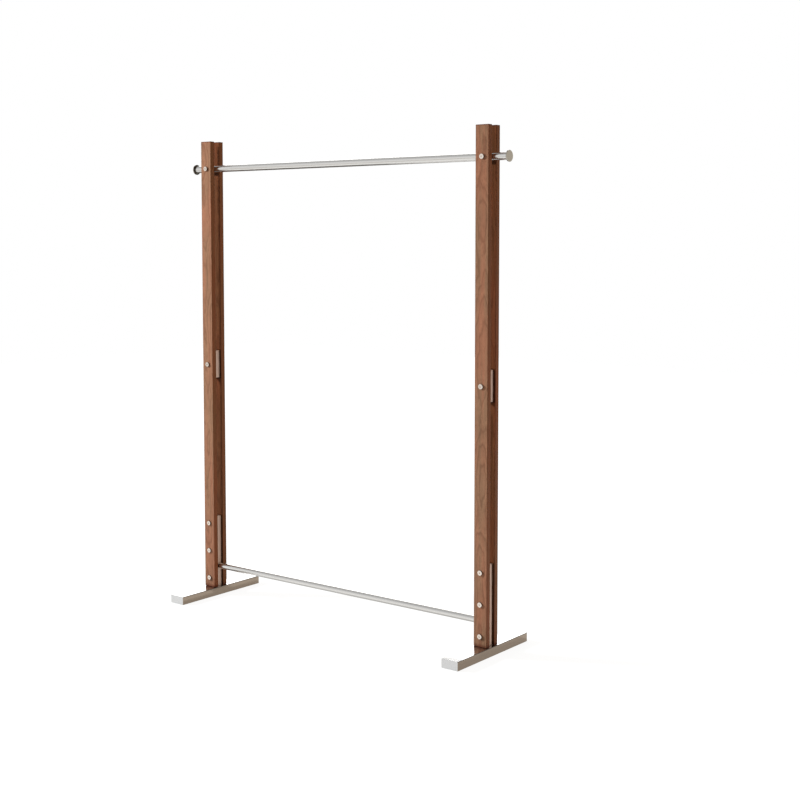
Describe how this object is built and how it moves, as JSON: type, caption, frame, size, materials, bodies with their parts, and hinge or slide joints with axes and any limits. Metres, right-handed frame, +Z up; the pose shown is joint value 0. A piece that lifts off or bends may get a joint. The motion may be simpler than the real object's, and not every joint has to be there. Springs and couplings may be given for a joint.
{
  "type": "kimono stand",
  "caption": "Free-standing kimono stand: a steel hanging rod between two double-board walnut posts on flat steel feet, tied by a thin lower rail.",
  "frame": {"origin": "on the floor, at the middle of the stand's width and depth", "axes": "+X along the hanging rod towards the viewer's right, +Y from the front (bolt heads) to the back (nuts), +Z up"},
  "size_m": [1.4, 0.4, 1.7],
  "materials": {
    "walnut": "oiled walnut, straight vertical grain, satin",
    "bar_steel": "satin brushed stainless flat bar",
    "rod_steel": "fine lengthwise brushed stainless tube",
    "bolt_steel": "satin turned stainless",
    "black_steel": "black oxide",
    "glide_plastic": "matt"
  },
  "bodies": {
    "root": {"hanging_rod": "rod_steel", "lower_rail": "rod_steel", "left_front_board": "walnut", "left_back_board": "walnut", "left_foot_bar": "bar_steel", "left_upright": "bar_steel", "left_spacer": "bar_steel", "left_rod_end_cap": "rod_steel", "left_rail_spigot": "bar_steel", "left_rail_grub_screw": "black_steel", "left_foot_screw_1": "black_steel", "left_foot_screw_2": "black_steel", "left_front_glide": "glide_plastic", "left_back_glide": "glide_plastic", "left_upright_low_bolt": "bolt_steel", "left_upright_low_nut": "bolt_steel", "left_upright_middle_bolt": "bolt_steel", "left_upright_middle_nut": "bolt_steel", "left_upright_high_bolt": "bolt_steel", "left_upright_high_nut": "bolt_steel", "left_spacer_bolt": "bolt_steel", "left_spacer_nut": "bolt_steel", "left_rod_bolt": "bolt_steel", "left_rod_nut": "bolt_steel", "right_front_board": "walnut", "right_back_board": "walnut", "right_foot_bar": "bar_steel", "right_upright": "bar_steel", "right_spacer": "bar_steel", "right_rod_end_cap": "rod_steel", "right_rail_spigot": "bar_steel", "right_rail_grub_screw": "black_steel", "right_foot_screw_1": "black_steel", "right_foot_screw_2": "black_steel", "right_front_glide": "glide_plastic", "right_back_glide": "glide_plastic", "right_upright_low_bolt": "bolt_steel", "right_upright_low_nut": "bolt_steel", "right_upright_middle_bolt": "bolt_steel", "right_upright_middle_nut": "bolt_steel", "right_upright_high_bolt": "bolt_steel", "right_upright_high_nut": "bolt_steel", "right_spacer_bolt": "bolt_steel", "right_spacer_nut": "bolt_steel", "right_rod_bolt": "bolt_steel", "right_rod_nut": "bolt_steel"}
  },
  "joints": []
}
